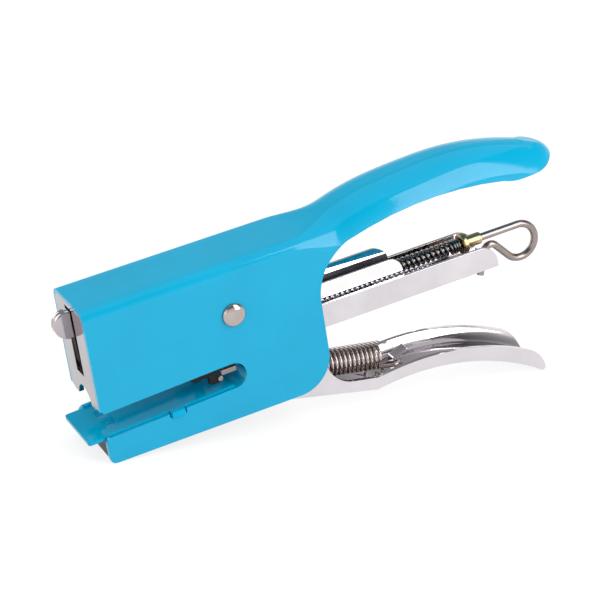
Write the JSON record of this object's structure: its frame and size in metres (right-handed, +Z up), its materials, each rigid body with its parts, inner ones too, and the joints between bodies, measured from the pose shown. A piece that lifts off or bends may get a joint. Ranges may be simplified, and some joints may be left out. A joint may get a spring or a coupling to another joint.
{
  "type": "pliers stapler",
  "caption": "Small pliers-type hand stapler: folded sheet body with arched handle, chromed squeeze lever, sprung magazine, slotted front plate and anvil jaw.",
  "frame": {"origin": "middle of the bounding box at its lowest level, on the surface the stapler stands on", "axes": "+Z up, +X from the nose to the handles, +Y to the far side when the nose points left; the head is pitched about 9.5 degrees as it stands on the jaw's front corner and the lever's rear end"},
  "size_m": [0.1234, 0.0216, 0.0579],
  "materials": {
    "blue_enamel": "glossy sky-blue enamel on folded steel sheet",
    "bright_chrome": "bright chrome plate",
    "zinc_steel": "bright zinc plate, lightly brushed",
    "bare_steel": "plain ground steel",
    "staple_steel": "drawn galvanised wire",
    "black_oxide": "black oxide spring wire with a film of oil",
    "yellow_brass": "turned brass",
    "black_plastic": "fine-grained black plastic"
  },
  "bodies": {
    "body": {"body_shell": "blue_enamel", "anvil_plate": "blue_enamel", "base_pad": "black_plastic", "front_frame": "zinc_steel", "paper_stops": "black_plastic", "main_rivet": "bright_chrome", "pivot_sleeve": "bare_steel", "magazine_pin": "bare_steel", "return_spring": "bright_chrome"},
    "lever": {"lever_handle": "bright_chrome", "tongue_rivets": "bright_chrome", "clamp_rivet": "bare_steel", "clamp_spring": "black_oxide"},
    "driver": {"driver_blade": "bare_steel"},
    "magazine": {"magazine_channel": "zinc_steel", "magazine_cover": "zinc_steel", "staple_strip": "staple_steel"},
    "rod": {"pusher_rod": "bright_chrome", "rod_bush": "yellow_brass", "rod_clip": "bare_steel", "pusher_spring": "black_oxide"},
    "pusher": {"staple_pusher": "zinc_steel"}
  },
  "joints": [
    {"name": "lever_squeeze", "type": "hinge", "parent": "body", "child": "lever", "pos_m": [-0.02337, 0, 0.03018], "axis": [0, -1, 0], "range_deg": [0, 15.5], "stiffness_Nm_per_rad": 2, "springref_deg": -14.32, "deforming": ["return_spring", "clamp_spring"]},
    {"name": "driver_drop", "type": "slide", "parent": "body", "child": "driver", "axis": [0.1657, 0, -0.9862], "range_m": [0, 0.00885]},
    {"name": "magazine_tilt", "type": "hinge", "parent": "body", "child": "magazine", "pos_m": [-0.00728, 0, 0.01828], "axis": [0, -1, 0], "range_deg": [0, 5.66]},
    {"name": "rod_pull", "type": "slide", "parent": "magazine", "child": "rod", "axis": [0.9862, 0, 0.1657], "range_m": [0, 0.045]},
    {"name": "pusher_feed", "type": "slide", "parent": "rod", "child": "pusher", "axis": [0.9862, 0, 0.1657], "range_m": [0, 0.015], "stiffness_N_per_m": 80, "springref_m": -0.01, "deforming": ["pusher_spring"]}
  ],
  "couplings": [
    {"joint": "driver_drop", "follows": "lever_squeeze", "m_per_rad": 0.032677},
    {"joint": "magazine_tilt", "follows": "lever_squeeze", "ratio": 0.36452}
  ]
}
